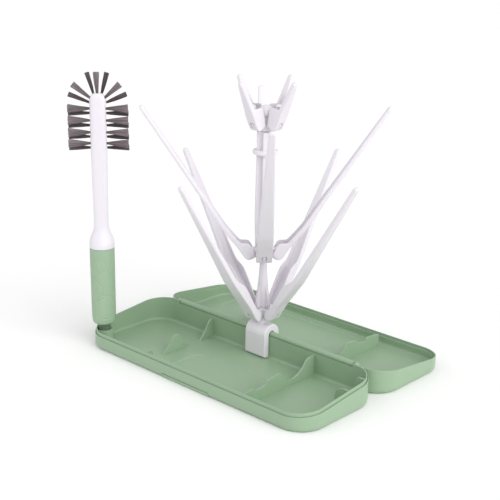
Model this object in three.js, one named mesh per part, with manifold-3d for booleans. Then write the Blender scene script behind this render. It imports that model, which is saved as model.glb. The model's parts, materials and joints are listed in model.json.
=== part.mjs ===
// Travel bottle drying rack: a clamshell case opened flat as two drip trays, a folding
// three-tier rack clipped over the hinge rail, and a bottle brush standing in a corner socket.
// Units are millimetres, +Z is up. The origin is the centre of the front tray's underside.
import * as THREE from 'three';
import { mergeVertices } from 'three/addons/utils/BufferGeometryUtils.js';
import Module from 'manifold-3d';

const wasm = await Module();
wasm.setup();

// ---------------------------------------------------------------- driving dimensions
const GAP = 0.3;                 // clearance between pieces that touch
const HINGE_Y = 51;              // the hinge line, measured from the origin

const TRAY = {
  halfLength: 140, depth: 102, corner: 25, wall: 2.4, floor: 2.2, bottomRound: 4,
  hingeGap: 1.0,                 // from the hinge plane to each tray's hinge wall
};
const BASE_RIM = { hinge: 23.9, front: 13.5 };
const LID_RIM = { hinge: 23.9, front: 12.2 };
const LIP = { rise: 3.1, thickness: 1.3 };
const RAIL = { z: 24.85, radius: 2.75, halfLength: 110, knuckle: 5.5 };
const HINGE_PIN = { radius: 1, depth: 7 };       // depth is how far a pin reaches into the rail
const DIVIDER = { x: 67, thickness: 1.8 };
const FIN_X = -63;                               // the hinge-side rib and the fin are in one line
// Two short ribs on the right-hand end wall: a place along the wall, how far they root into it, and
// an outline in X and Z.
const END_RIBS = [
  {
    y: -42, into: 138.2,
    points: [[131.6, 22.8], [129.1, 21.8], [126, 20.4], [124.4, 18], [123.4, 14], [123, 1.2]],
  },
  {
    y: -18, into: 136.8,
    points: [[130, 24.8], [128.4, 24], [127.4, 22], [125.8, 17.8], [124.6, 14], [124, 1.2]],
  },
];
const FRONT_RIB = { x: -55.5, top: 16.2, reach: 10 };
const PAD = { depth: 0.5, corner: 9 };           // a shallow rounded recess in each tray's floor
const BASE_PAD = { x: [-41, 58], y: [-94, -42] };
const LID_PAD = { x: [-118, 58], y: [60, 94] };
const CLIP_NOTCH = { side: 1.5, bottom: 6 };     // room for the clip in the rear tray's wall
const BRUSH = { x: -128.5, y: -86.5, turn: Math.PI / 4 };
const BOSS = { radius: 8.6, top: 15.2, socketRadius: 6.4, socketFloor: 4 };

const CLIP = {
  halfWidth: 12.5, frontFoot: 2.7, backFoot: 12, outer: 10.2, inner: 3.7, edge: 1.2,
};
const NECK = { radius: 6, bottom: 31, top: 40 };
const STEM = { bottom: 50.4, top: 97.7, fin: 1.4 };        // fin is half a fin's thickness
const POLE = { bottom: 112.3, top: 216.7, halfSpan: 7.9, rib: 5 };
const DISC = { z: 196.2, radius: 11.6, thickness: 3.8 };
const SPIGOT = { radius: 2.4, length: 7 };
const PIN = { radius: 1.5, reach: 0.9 };

// One tier of arms. Outlines are (distance from the pole, height) pairs on the arm's flank.
const LOWER = {
  name: 'lower', turn: 0, pivot: [11.2, 44.6], lugRadius: 3.9, halfWidth: 7.3, wall: 1.8,
  hubHeights: [36.5, 50], hubRadius: 6, knuckle: 5.4, foot: [8.6, 41.2],
  outer: [[14.9, 41.2], [24.9, 56.3], [45.3, 83.4]],
  inner: [[44.4, 90], [40.4, 85.4], [36, 83], [31.6, 79.8], [28.8, 76], [15.2, 52.8], [9, 47]],
  rod: { start: [43.2, 86.4], end: [103.9, 182.4], depth: [5.8, 4.3], tipHalfWidth: 2.8 },
  grooveEnd: 0.5,
};
const MIDDLE = {
  name: 'middle', turn: Math.PI / 4, pivot: [12.8, 103.2], lugRadius: 4.3, halfWidth: 7.3, wall: 1.8,
  hubHeights: [98, 112], hubRadius: 7, knuckle: 6, foot: [7.8, 99.4],
  outer: [[18.4, 101.2], [24.2, 109.2], [38.6, 126.6]],
  inner: [[34.8, 128.6], [29.2, 121.8], [21.8, 113.3], [14.2, 113.3], [12.4, 111.8], [7.8, 103]],
  rod: { start: [36.8, 127.7], end: [110.3, 237.4], depth: [4.6, 3.9], tipHalfWidth: 2.8 },
  grooveEnd: 0.5,
};
const TOP = {
  name: 'top', turn: 0, pivot: [11.2, 224.4], lugRadius: 3.9, halfWidth: 5.3, wall: 1.5,
  hubHeights: [217, 231], hubRadius: 4.8, knuckle: 5.9, foot: [5.8, 220.2],
  outer: [[16.4, 221.6], [19.6, 228], [22.8, 235.6]],
  inner: [[19.2, 237.8], [16.4, 238.8], [12.6, 240], [10, 239.8], [8.8, 238.6], [7.5, 233.4], [5.8, 224.4]],
  rod: { start: [20, 233.8], end: [32.6, 262], depth: [5.4, 4.3], tipHalfWidth: 2.5 },
  grooveEnd: 0.6,
};
const TONGUE_SIDE_GAP = 1.6;     // beside each lug, inside the arm's channel
const ROOT_SKIN_DEPTH = 30;
const WINDOW = { halfWidth: 2.1, below: 3, above: 2 };   // the slot low on each arm's outside

const PADDLE = { shoulder: 239, dome: 6.2, halfWidth: 7.6, halfDepth: 4.3 };
const BRISTLES = { bottom: 191, halfWidth: 27.8, top: 264.6, thickness: 3.4, split: 0.5 };
const GRIP = { bottom: 21, top: 98, radius: 11.8 };
const CORE = { bottom: 40, radius: 5 };          // the handle's core inside the grip
const PLUG = { bottom: 4.3, radius: 5.9, spigot: 4, spigotTop: 28.6 };

// ---------------------------------------------------------------- materials
const plastic = (color, roughness) =>
  new THREE.MeshStandardMaterial({ color, roughness, metalness: 0 });
const SAGE = plastic(0x9fbf9f, 0.5);
const SAGE_GRIP = plastic(0xa6c6a6, 0.65);
const WHITE = plastic(0xf1eef4, 0.38);
const BRISTLE_LIGHT = plastic(0x968c92, 0.8);
const BRISTLE_DARK = plastic(0x6c6268, 0.8);
const STEEL = new THREE.MeshStandardMaterial({ color: 0xb9bbbd, roughness: 0.3, metalness: 1 });

// ---------------------------------------------------------------- solids
// A closed three.js geometry as a manifold solid, so that pieces can be joined and cut.
function solid(geometry) {
  geometry.deleteAttribute('normal');
  geometry.deleteAttribute('uv');
  const merged = mergeVertices(geometry, 1e-4);
  return new wasm.Manifold(new wasm.Mesh({
    numProp: 3,
    vertProperties: new Float32Array(merged.attributes.position.array),
    triVerts: new Uint32Array(merged.index.array),
  }));
}

const join = (...solids) => solids.reduce((sum, next) => sum.add(next));

function box([x0, x1], [y0, y1], [z0, z1]) {
  const geometry = new THREE.BoxGeometry(x1 - x0, y1 - y0, z1 - z0);
  return solid(geometry.translate((x0 + x1) / 2, (y0 + y1) / 2, (z0 + z1) / 2));
}

// A round bar from one point to another.
function bar(from, to, radius, sides = 16) {
  const start = new THREE.Vector3(...from);
  const along = new THREE.Vector3(...to).sub(start);
  const geometry = new THREE.CylinderGeometry(radius, radius, along.length(), sides);
  const upright = new THREE.Vector3(0, 1, 0);
  geometry.applyQuaternion(new THREE.Quaternion().setFromUnitVectors(upright, along.clone().normalize()));
  return solid(geometry.translate(...start.addScaledVector(along, 0.5)));
}

// A turned body about the vertical axis, from (radius, height) points that start and end on the axis.
function turned(points, sides = 24) {
  const geometry = new THREE.LatheGeometry(points.map(([r, z]) => new THREE.Vector2(r, z)), sides);
  return solid(geometry.rotateX(Math.PI / 2));
}

// An outline in X and Y, extruded upwards; a bevel rounds the foot and stays below the height asked for.
function upright(shape, z0, z1, bevel = 0, curveSegments = 7) {
  const geometry = new THREE.ExtrudeGeometry(shape, {
    depth: z1 - z0 - bevel, steps: 1, curveSegments, bevelEnabled: bevel > 0,
    bevelThickness: bevel, bevelSize: bevel, bevelOffset: -bevel, bevelSegments: 2,
  });
  return solid(geometry.translate(0, 0, z0 + bevel));
}

// An outline in Y and Z, extruded along X between two places.
const ALONG_X = new THREE.Matrix4().makeBasis(
  new THREE.Vector3(0, 1, 0), new THREE.Vector3(0, 0, 1), new THREE.Vector3(1, 0, 0));
function sideways(shape, x0, x1, bevel = 0) {
  const geometry = new THREE.ExtrudeGeometry(shape, {
    depth: x1 - x0 - 2 * bevel, steps: 1, curveSegments: 5, bevelEnabled: bevel > 0,
    bevelThickness: bevel, bevelSize: bevel, bevelOffset: -bevel, bevelSegments: 1,
  });
  return solid(geometry.translate(0, 0, x0 + bevel).applyMatrix4(ALONG_X));
}

// An outline in X and Z, extruded along Y between two places.
function lengthways(shape, y0, y1) {
  const geometry = new THREE.ExtrudeGeometry(shape, { depth: y1 - y0, steps: 1, bevelEnabled: false });
  return solid(geometry.rotateX(Math.PI / 2).translate(0, y1, 0));
}

const outline = (points) => new THREE.Shape(points.map(([a, b]) => new THREE.Vector2(a, b)));

function roundedRectangle(x0, x1, y0, y1, radius) {
  const shape = new THREE.Shape();
  shape.absarc(x1 - radius, y0 + radius, radius, -Math.PI / 2, 0);
  shape.absarc(x1 - radius, y1 - radius, radius, 0, Math.PI / 2);
  shape.absarc(x0 + radius, y1 - radius, radius, Math.PI / 2, Math.PI);
  shape.absarc(x0 + radius, y0 + radius, radius, Math.PI, Math.PI * 1.5);
  return shape;
}

// A closed body through rounded-rectangle sections. Each section has a centre, two half-size
// vectors and a squareness (2 is an ellipse, more is squarer).
function loft(sections, sides = 16) {
  const steps = sections.length - 1;
  const geometry = new THREE.CylinderGeometry(1, 1, 1, sides, steps);
  const position = geometry.attributes.position;
  const squared = (value, power) => Math.sign(value) * Math.abs(value) ** (2 / power);
  for (let i = 0; i < position.count; i += 1) {
    const section = sections[Math.round((0.5 - position.getY(i)) * steps)];
    const across = squared(position.getX(i), section.squareness);
    const deep = squared(position.getZ(i), section.squareness);
    const point = section.centre.clone()
      .addScaledVector(section.half, Math.abs(across) < 1e-6 ? 0 : across)
      .addScaledVector(section.deep, Math.abs(deep) < 1e-6 ? 0 : deep);
    position.setXYZ(i, point.x, point.y, point.z);
  }
  const body = solid(geometry);
  return body.volume() > 0 ? body : solid(flipped(geometry));
}

function flipped(geometry) {
  const index = geometry.index.array;
  for (let i = 0; i < index.length; i += 3) {
    [index[i], index[i + 1]] = [index[i + 1], index[i]];
  }
  return geometry;
}

const turnedAbout = (body, angle) => body.rotate([0, 0, THREE.MathUtils.radToDeg(angle)]);

// ---------------------------------------------------------------- the model
const model = new THREE.Group();
model.position.set(0, HINGE_Y, 0);

function addPart(name, body, material) {
  const { numProp, vertProperties, triVerts } = body.getMesh();
  const geometry = new THREE.BufferGeometry();
  const positions = new Float32Array((vertProperties.length / numProp) * 3);
  for (let i = 0; i < positions.length / 3; i += 1) {
    positions.set(vertProperties.subarray(i * numProp, i * numProp + 3), i * 3);
  }
  geometry.setAttribute('position', new THREE.BufferAttribute(positions, 3));
  geometry.setIndex(new THREE.BufferAttribute(new Uint32Array(triVerts), 1));
  geometry.computeVertexNormals();
  const mesh = new THREE.Mesh(geometry, material);
  mesh.name = name;
  model.add(mesh);
}

// ---------------------------------------------------------------- trays
// Everything above a rim that slopes from the hinge down to the far edge. side is -1 for the
// front tray and +1 for the rear one.
function aboveRim(rim, side, lift = 0) {
  const far = side * (TRAY.depth + 10);
  const drop = (rim.hinge - rim.front) * ((TRAY.depth + 10) / TRAY.depth);
  const top = rim.hinge + 40;
  return sideways(outline([
    [-side * 10, top], [-side * 10, rim.hinge + lift], [0, rim.hinge + lift],
    [far, rim.hinge - drop + lift], [far, top],
  ]), -TRAY.halfLength - 10, TRAY.halfLength + 10);
}

function trayOutline(side, inset = 0) {
  const near = side * TRAY.hingeGap;
  const [y0, y1] = side < 0 ? [-TRAY.depth, near] : [near, TRAY.depth];
  return roundedRectangle(-TRAY.halfLength + inset, TRAY.halfLength - inset,
    y0 + inset, y1 - inset, TRAY.corner - inset);
}

// A tray's shell: floor, walls and a stepped rim. The front tray has a lip along its inner edge,
// and the rear tray a matching ledge, so that the halves nest when the case is shut.
function trayShell(side, rim, hasLip) {
  const height = rim.hinge + LIP.rise + 1;
  const outside = upright(trayOutline(side), 0, height, TRAY.bottomRound);
  const hollow = upright(trayOutline(side, TRAY.wall), TRAY.floor, height + 1, TRAY.bottomRound - 1.5);
  const tall = outside.subtract(hollow);
  const split = upright(trayOutline(side, TRAY.wall - LIP.thickness), rim.front - 4, height + 1);
  const innerRise = hasLip ? LIP.rise : -LIP.rise - 0.1;
  const inner = tall.intersect(split).subtract(aboveRim(rim, side, innerRise));
  const outer = tall.subtract(split).subtract(aboveRim(rim, side));
  return outer.add(inner);
}

function floorPad({ x: [x0, x1], y: [y0, y1] }) {
  return upright(roundedRectangle(x0, x1, y0, y1, PAD.corner), TRAY.floor - PAD.depth, TRAY.floor + 1);
}

// The cross rib that parts off the right-hand compartment, with a notch and a shoulder.
const RIB_HALF = 0.8;            // half the thickness of the short ribs
function crossRib(points) {
  const half = DIVIDER.thickness / 2;
  return sideways(outline(points), DIVIDER.x - half, DIVIDER.x + half);
}

function baseTray() {
  const rear = -TRAY.hingeGap;
  const innerRear = rear - TRAY.wall;
  const innerFront = -TRAY.depth + TRAY.wall;
  const root = TRAY.floor - 1;
  const rib = crossRib([
    [innerFront - 1, root], [rear - 1, root], [rear - 1, RAIL.z - RAIL.radius - 1], [-8.8, 21.2],
    [-14.2, 19.6], [-18.4, 14.6], [-24, 10.6], [-32, 7.6], [-38, 8.4], [-44, 13.6], [-48.6, 17.8],
    [-51, 18], [-66.2, 16.8], [-68.6, 13.2], [-80.1, 12.2], [-83.4, 14.9], [-93.9, 14.2],
    [innerFront - 1, 13.4],
  ]);
  const fin = sideways(outline([
    [-71.5, root], [-71.5, 3], [-63.6, 8], [-59.4, 13], [-57.2, 16.4], [-53, 17.4], [-48.6, 17.2],
    [-44, 10.6], [-36.6, 3], [-36.6, root],
  ]), FIN_X - DIVIDER.thickness / 2, FIN_X + DIVIDER.thickness / 2);
  const wallRib = sideways(outline([
    [-22, root], [-14, 10.6], [-7.4, 19.6], [rear - 1, 20.6], [rear - 1, root],
  ]), FIN_X - RIB_HALF, FIN_X + RIB_HALF);
  const frontRib = box([FRONT_RIB.x - RIB_HALF, FRONT_RIB.x + RIB_HALF],
    [innerFront - 1, innerFront + FRONT_RIB.reach], [root, FRONT_RIB.top]);
  const endRibs = END_RIBS.map(({ y, into, points }) => lengthways(outline([
    [into, root], [into, points[0][1]], ...points,
  ]), y - RIB_HALF, y + RIB_HALF));
  const boss = bar([BRUSH.x, BRUSH.y, root], [BRUSH.x, BRUSH.y, BOSS.top], BOSS.radius, 24)
    .intersect(upright(trayOutline(-1, 1), 0, 30));
  const socket = bar([BRUSH.x, BRUSH.y, BOSS.socketFloor], [BRUSH.x, BRUSH.y, 30], BOSS.socketRadius, 24);
  const underRail = box([-RAIL.halfLength - 1, RAIL.halfLength + 1], [-8, 2],
    [RAIL.z - RAIL.radius - 0.6, 40]);
  const knuckles = [-1, 1].map((end) => {
    const inner = end * (RAIL.halfLength + GAP);
    const outer = end * (RAIL.halfLength + GAP + RAIL.knuckle);
    const web = box([Math.min(inner, outer), Math.max(inner, outer)], [innerRear, rear], [12, RAIL.z]);
    return bar([inner, 0, RAIL.z], [outer, 0, RAIL.z], RAIL.radius).add(web);
  });
  const thumbRecess = box([-30, 30], [-TRAY.depth - 2, -TRAY.depth + 1.1], [-1, 4.8]);
  const shell = trayShell(-1, BASE_RIM, true).subtract(floorPad(BASE_PAD));
  let body = join(shell, rib, fin, wallRib, frontRib, ...endRibs, boss);
  body = body.subtract(socket).subtract(underRail).add(join(...knuckles)).subtract(thumbRecess);
  return body.subtract(pinBores());
}

function pinBores() {
  return join(...[-1, 1].map((end) => bar(
    [end * (RAIL.halfLength - HINGE_PIN.depth), 0, RAIL.z],
    [end * (RAIL.halfLength + RAIL.knuckle + 2), 0, RAIL.z], HINGE_PIN.radius + GAP, 12)));
}

function lidTray() {
  const front = TRAY.hingeGap;
  const innerBack = TRAY.depth - TRAY.wall;
  const root = TRAY.floor - 1;
  const rib = crossRib([
    [front + 1, root], [94.2, root], [94.2, 13.2], [93.4, 13.8], [77.8, 15.6], [75.4, 14.8], [73.1, 12],
    [62.1, 14.2], [58.8, 17], [43.4, 18.8], [38, 13.4], [32.2, 8.4], [20, 7.4], [12, 11], [7.4, 17],
    [front + 1, 19.5],
  ]);
  const wallRib = sideways(outline([
    [front + 1, root], [22, root], [14, 10.6], [7.4, 18.6], [front + 1, 20],
  ]), FIN_X - RIB_HALF, FIN_X + RIB_HALF);
  const fin = sideways(outline([
    [36.6, root], [36.6, 3], [40.6, 6], [44, 9.6], [47, 13.4], [50, 15.4], [54, 15.4], [57.4, 13.2],
    [61, 8.2], [68, 3], [68, root],
  ]), FIN_X - DIVIDER.thickness / 2, FIN_X + DIVIDER.thickness / 2);
  const rail = bar([-RAIL.halfLength, 0, RAIL.z], [RAIL.halfLength, 0, RAIL.z], RAIL.radius, 20);
  const railWeb = box([-RAIL.halfLength, RAIL.halfLength], [front, front + TRAY.wall], [15, RAIL.z]);
  const knuckleReach = RAIL.halfLength + RAIL.knuckle + 1;
  const aroundKnuckles = [-1, 1].map((end) => box(
    [RAIL.halfLength, knuckleReach].map((reach) => end * reach).sort((a, b) => a - b),
    [-8, RAIL.radius + 1], [RAIL.z - RAIL.radius - 1.2, 40]));
  const notchHalf = CLIP.halfWidth + CLIP_NOTCH.side;
  const clipNotch = box([-notchHalf, notchHalf], [front - 1, front + TRAY.wall + 1.5],
    [CLIP_NOTCH.bottom, RAIL.z]);
  const shell = trayShell(1, LID_RIM, false).subtract(floorPad(LID_PAD));
  let body = join(shell, rib, wallRib, fin).subtract(join(...aroundKnuckles));
  body = body.subtract(box([-RAIL.halfLength - 1, RAIL.halfLength + 1], [-8, RAIL.radius + 2],
    [RAIL.z, 40]));
  return join(body, railWeb).subtract(clipNotch).add(rail).subtract(pinBores());
}

// ---------------------------------------------------------------- rack
function clip() {
  const middle = RAIL.z - 0.6;
  const shape = new THREE.Shape();
  const foot = 1.6;
  shape.moveTo(-CLIP.inner - foot, CLIP.frontFoot);
  shape.lineTo(-CLIP.inner, CLIP.frontFoot + foot);
  shape.lineTo(-CLIP.inner, middle);
  shape.absarc(0, middle, CLIP.inner, Math.PI, 0, true);
  shape.lineTo(CLIP.inner, CLIP.backFoot + foot);
  shape.lineTo(CLIP.inner + foot, CLIP.backFoot);
  shape.lineTo(CLIP.outer - foot, CLIP.backFoot);
  shape.lineTo(CLIP.outer, CLIP.backFoot + foot);
  shape.lineTo(CLIP.outer, middle);
  shape.absarc(0, middle, CLIP.outer, 0, Math.PI, false);
  shape.lineTo(-CLIP.outer, CLIP.frontFoot + foot);
  shape.lineTo(-CLIP.outer + foot, CLIP.frontFoot);
  return sideways(shape, -CLIP.halfWidth, CLIP.halfWidth, CLIP.edge);
}

// The lugs of a hub: one tongue to each arm's pivot, drilled for the pin.
function lugs(tier) {
  const [reach, height] = tier.pivot;
  const half = tier.halfWidth - tier.wall - TONGUE_SIDE_GAP;
  const tongues = [0, 1, 2, 3].map((i) => {
    const tongue = sideways(lugOutline(reach, height, tier.lugRadius), -half, half)
      .subtract(bar([-half - 1, reach, height], [half + 1, reach, height], PIN.radius + GAP, 8));
    return turnedAbout(tongue, tier.turn + i * Math.PI / 2);
  });
  return join(...tongues);
}

function lugOutline(reach, height, radius) {
  const shape = new THREE.Shape();
  shape.moveTo(2, height - radius);
  shape.lineTo(reach, height - radius);
  shape.absarc(reach, height, radius, -Math.PI / 2, Math.PI / 2, false);
  shape.lineTo(2, height + radius);
  return shape;
}

function hubCore(tier) {
  const [z0, z1] = tier.hubHeights;
  return bar([0, 0, z0], [0, 0, z1], tier.hubRadius, 20);
}

const socketFor = (z0, z1) => bar([0, 0, z0], [0, 0, z1], SPIGOT.radius + GAP, 10);

function clipWithHub() {
  const neck = bar([0, 0, NECK.bottom], [0, 0, NECK.top], NECK.radius, 20);
  return join(clip(), neck, hubCore(LOWER), lugs(LOWER))
    .subtract(socketFor(STEM.bottom - SPIGOT.length - GAP, 60));
}

// A round stem that flares at its foot into four fins, one towards each lower arm.
function stem() {
  const { bottom, top } = STEM;
  const core = turned([
    [0, bottom - SPIGOT.length], [SPIGOT.radius, bottom - SPIGOT.length], [SPIGOT.radius, bottom],
    [4.4, bottom], [4.6, 56], [5, 62], [5.1, 66], [4.9, 71], [4.3, 76.5], [3.7, 84],
    [3.3, 92], [3.3, top], [SPIGOT.radius, top],
    [SPIGOT.radius, top + SPIGOT.length], [0, top + SPIGOT.length],
  ], 20);
  const finShape = outline([
    [-7.9, bottom], [7.9, bottom], [8.6, bottom + 2.4], [8.4, 56], [7.4, 60.5], [6.2, 65.5], [4.6, 72],
    [-4.6, 72], [-6.2, 65.5], [-7.4, 60.5], [-8.4, 56], [-8.6, bottom + 2.4],
  ]);
  const fins = sideways(finShape, -STEM.fin, STEM.fin);
  return join(core, fins, turnedAbout(fins, Math.PI / 2));
}

function middleHub() {
  const [z0, z1] = MIDDLE.hubHeights;
  return join(hubCore(MIDDLE), lugs(MIDDLE))
    .subtract(socketFor(z0 - 1, STEM.top + SPIGOT.length + GAP))
    .subtract(socketFor(POLE.bottom - SPIGOT.length - GAP, z1 + 1));
}

function pole() {
  const half = POLE.rib / 2;
  const ribs = [0, 1].map((i) => turnedAbout(
    upright(roundedRectangle(-POLE.halfSpan, POLE.halfSpan, -half, half, 0.8),
      POLE.bottom, POLE.top, 0, 1),
    Math.PI / 4 + i * Math.PI / 2));
  const disc = turned([
    [0, DISC.z], [DISC.radius - 1, DISC.z], [DISC.radius, DISC.z + 1],
    [DISC.radius, DISC.z + DISC.thickness - 1], [DISC.radius - 1, DISC.z + DISC.thickness],
    [0, DISC.z + DISC.thickness],
  ], 24);
  const spigots = bar([0, 0, POLE.bottom - SPIGOT.length], [0, 0, POLE.top + SPIGOT.length],
    SPIGOT.radius, 10);
  return join(...ribs, disc, spigots);
}

function topHub() {
  const [, z1] = TOP.hubHeights;
  const cap = turned([
    [0, z1 - 1], [5.2, z1 - 0.6], [6.2, z1 + 0.8], [6.6, z1 + 2.6], [6.3, z1 + 5], [5.2, z1 + 7.4],
    [3.2, z1 + 9.1], [0, z1 + 9.7],
  ], 24);
  return join(hubCore(TOP), lugs(TOP), cap)
    .subtract(socketFor(POLE.top - 1, POLE.top + SPIGOT.length + GAP));
}

// An arm in the Y-Z plane, pointing along +Y: a flanged root round the pivot, then a slender rod.
function arm(tier) {
  const [reach, height] = tier.pivot;
  const { halfWidth, wall, knuckle } = tier;
  const root = sideways(rootOutline(tier, knuckle), -halfWidth, halfWidth).intersect(rootSkin(tier));
  const channelHalf = halfWidth - wall;
  const channel = sideways(channelOutline(tier), -channelHalf, channelHalf);
  const rod = tier.rod;
  const body = root.add(rodLoft(rod, halfWidth, 0, 1, 0))
    .subtract(channel)
    .subtract(rodLoft(rod, halfWidth, -0.12, tier.grooveEnd, wall));
  const blindHole = bar([-halfWidth + PIN.reach, reach, height], [halfWidth - PIN.reach, reach, height],
    PIN.radius + GAP, 8);
  const window = box([-WINDOW.halfWidth, WINDOW.halfWidth], [reach + 1.5, reach + knuckle + 4],
    [height - WINDOW.below, height + WINDOW.above]);
  return body.subtract(blindHole).subtract(window);
}

// The flank outline of an arm's root: round the knuckle, up the outer edge, back down the inner edge.
function rootOutline(tier, radius) {
  const [reach, height] = tier.pivot;
  const shape = new THREE.Shape();
  const lowest = -Math.PI * 0.62;
  shape.moveTo(...tier.foot);
  shape.lineTo(reach + radius * Math.cos(lowest), height + radius * Math.sin(lowest));
  shape.absarc(reach, height, radius, lowest, -Math.PI * 0.2, false);
  tier.outer.slice(1).forEach((point) => shape.lineTo(...point));
  tier.inner.forEach((point) => shape.lineTo(...point));
  return shape;
}

// The rounded skin of a root: it follows the outer edge and softens the corners of the web.
function rootSkin(tier) {
  const [first, ...rest] = tier.outer.map(([r, z]) => new THREE.Vector3(0, r, z));
  const last = rest[rest.length - 1];
  const along = last.clone().sub(first).normalize();
  const outward = new THREE.Vector3(0, along.z, -along.y);
  const before = first.clone().addScaledVector(along, -14);
  const after = last.clone().addScaledVector(along, 14);
  return loft([before, first, ...rest, after].map((edge) => ({
    centre: edge.clone().addScaledVector(outward, -ROOT_SKIN_DEPTH / 2),
    half: new THREE.Vector3(tier.halfWidth, 0, 0),
    deep: outward.clone().multiplyScalar(ROOT_SKIN_DEPTH / 2),
    squareness: 6,
  })), 16);
}

// The hollow between an arm's flanges, open towards the pole.
function channelOutline(tier) {
  const [reach, height] = tier.pivot;
  const clearRadius = tier.lugRadius + GAP;
  const shape = new THREE.Shape();
  shape.moveTo(-6, height - clearRadius);
  shape.lineTo(reach, height - clearRadius);
  shape.absarc(reach, height, clearRadius, -Math.PI / 2, -Math.PI * 0.2, false);
  tier.outer.slice(1).forEach(([r, z]) => shape.lineTo(r - tier.wall * 1.15, z + tier.wall * 0.2));
  const [lastR, lastZ] = tier.inner[0];
  shape.lineTo(lastR - 6, lastZ + 8);
  shape.lineTo(-6, lastZ + 8);
  return shape;
}

// The rod, or (with a wall) the groove along its inner side.
function rodLoft(rod, halfWidth, from, to, wall) {
  const start = new THREE.Vector3(0, ...rod.start);
  const end = new THREE.Vector3(0, ...rod.end);
  const along = end.clone().sub(start).normalize();
  const outward = new THREE.Vector3(0, along.z, -along.y);
  const steps = wall > 0 ? 1 : 2;
  const sections = [];
  const section = (t, shrink, push = 0) => {
    const width = THREE.MathUtils.lerp(halfWidth, rod.tipHalfWidth, t) - wall;
    const depth = THREE.MathUtils.lerp(rod.depth[0], rod.depth[1], t) / 2;
    const centre = start.clone().lerp(end, t).addScaledVector(along, push)
      .addScaledVector(outward, wall > 0 ? -wall - 1.5 * depth : 0);
    sections.push({
      centre,
      half: new THREE.Vector3(width * shrink, 0, 0),
      deep: outward.clone().multiplyScalar(depth * (wall > 0 ? 2.5 : 1) * shrink),
      squareness: 3.6,
    });
  };
  for (let i = 0; i <= steps; i += 1) {
    section(from + (to - from) * (i / steps), 1);
  }
  if (wall === 0) {
    section(1, 0.86, rod.tipHalfWidth * 0.5);
    section(1, 0.5, rod.tipHalfWidth * 0.9);
  } else {
    section(to + 0.06, 0.2);
  }
  return loft(sections, wall > 0 ? 8 : 12);
}

function armPin(tier) {
  const half = tier.halfWidth - PIN.reach - GAP;
  const [reach, height] = tier.pivot;
  return bar([-half, reach, height], [half, reach, height], PIN.radius, 8);
}

// ---------------------------------------------------------------- brush
function section(z, halfWidth, halfDepth, squareness) {
  return {
    centre: new THREE.Vector3(0, 0, z),
    half: new THREE.Vector3(halfWidth, 0, 0),
    deep: new THREE.Vector3(0, halfDepth, 0),
    squareness,
  };
}

function brushHandle() {
  const { shoulder, dome, halfWidth, halfDepth } = PADDLE;
  const top = [0.35, 0.65, 0.86, 0.97].map((t) => {
    const shrink = Math.sqrt(1 - t * t);
    return section(shoulder + dome * t, halfWidth * shrink, halfDepth * (0.4 + 0.6 * shrink), 2.4);
  });
  const body = loft([
    section(GRIP.top + GAP, GRIP.radius, GRIP.radius, 2),
    section(104, 11.9, 11.4, 2), section(109, 10.6, 9, 2), section(115, 8, 6.2, 2.1),
    section(122, 6.9, 5, 2.3), section(150, 7.2, 4.5, 2.6), section(188, halfWidth, halfDepth, 2.8),
    section(shoulder, halfWidth, halfDepth, 2.8), ...top,
  ], 24);
  const core = bar([0, 0, CORE.bottom], [0, 0, GRIP.top + 3], CORE.radius, 20);
  return body.add(core);
}

function brushGrip() {
  const { bottom, top, radius } = GRIP;
  const body = turned([
    [0, bottom], [6.6, bottom], [9.2, bottom + 0.8], [10.8, bottom + 2.6], [11.4, bottom + 5.4],
    [11.6, bottom + 20], [radius, top - 12], [radius, top], [0, top],
  ], 32);
  const bore = bar([0, 0, CORE.bottom - GAP], [0, 0, top + 1], CORE.radius + GAP, 20);
  const plugHole = bar([0, 0, bottom - 1], [0, 0, PLUG.spigotTop + GAP], PLUG.spigot + GAP, 20);
  return body.subtract(bore).subtract(plugHole);
}

function brushPlug() {
  const { bottom, radius, spigot, spigotTop } = PLUG;
  const seat = GRIP.bottom - GAP;
  return turned([
    [0, bottom], [radius - 1.1, bottom], [radius, bottom + 1.4], [radius, seat],
    [spigot, seat], [spigot, spigotTop], [0, spigotTop],
  ], 24);
}

// A row of bristles round the paddle's edge, as one plain solid; front is +1 or -1.
function bristleRow(front) {
  const { bottom, halfWidth, top, thickness, split } = BRISTLES;
  const centre = PADDLE.shoulder;
  const shape = new THREE.Shape();
  shape.moveTo(-halfWidth, bottom);
  shape.lineTo(halfWidth, bottom);
  shape.absellipse(0, centre, halfWidth, top - centre, 0, Math.PI, false);
  const geometry = new THREE.ExtrudeGeometry(shape, {
    depth: thickness, steps: 1, curveSegments: 14, bevelEnabled: false,
  });
  geometry.rotateX(Math.PI / 2).translate(0, front > 0 ? -split : split + thickness, 0);
  const clear = loft([
    section(bottom - 2, PADDLE.halfWidth + GAP, PADDLE.halfDepth + 1, 3),
    section(centre, PADDLE.halfWidth + GAP, PADDLE.halfDepth + 1, 3),
    section(centre + 2.8, PADDLE.halfWidth * 0.94 + GAP, PADDLE.halfDepth + 1, 3),
    section(centre + 4.8, PADDLE.halfWidth * 0.74 + GAP, PADDLE.halfDepth + 1, 3),
    section(centre + PADDLE.dome + GAP, PADDLE.halfWidth * 0.5, PADDLE.halfDepth + 1, 3),
  ], 20);
  return solid(geometry).subtract(clear);
}

const standing = (body) => turnedAbout(body, BRUSH.turn).translate([BRUSH.x, BRUSH.y, 0]);

// ---------------------------------------------------------------- assembly
addPart('base_tray', baseTray(), SAGE);
addPart('lid_tray', lidTray(), SAGE);
[['left', -1], ['right', 1]].forEach(([side, end]) => {
  const inner = end * (RAIL.halfLength - HINGE_PIN.depth + GAP);
  const outer = end * (RAIL.halfLength + RAIL.knuckle);
  addPart(`hinge_pin_${side}`, bar([inner, 0, RAIL.z], [outer, 0, RAIL.z], HINGE_PIN.radius, 12), STEEL);
});

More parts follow.
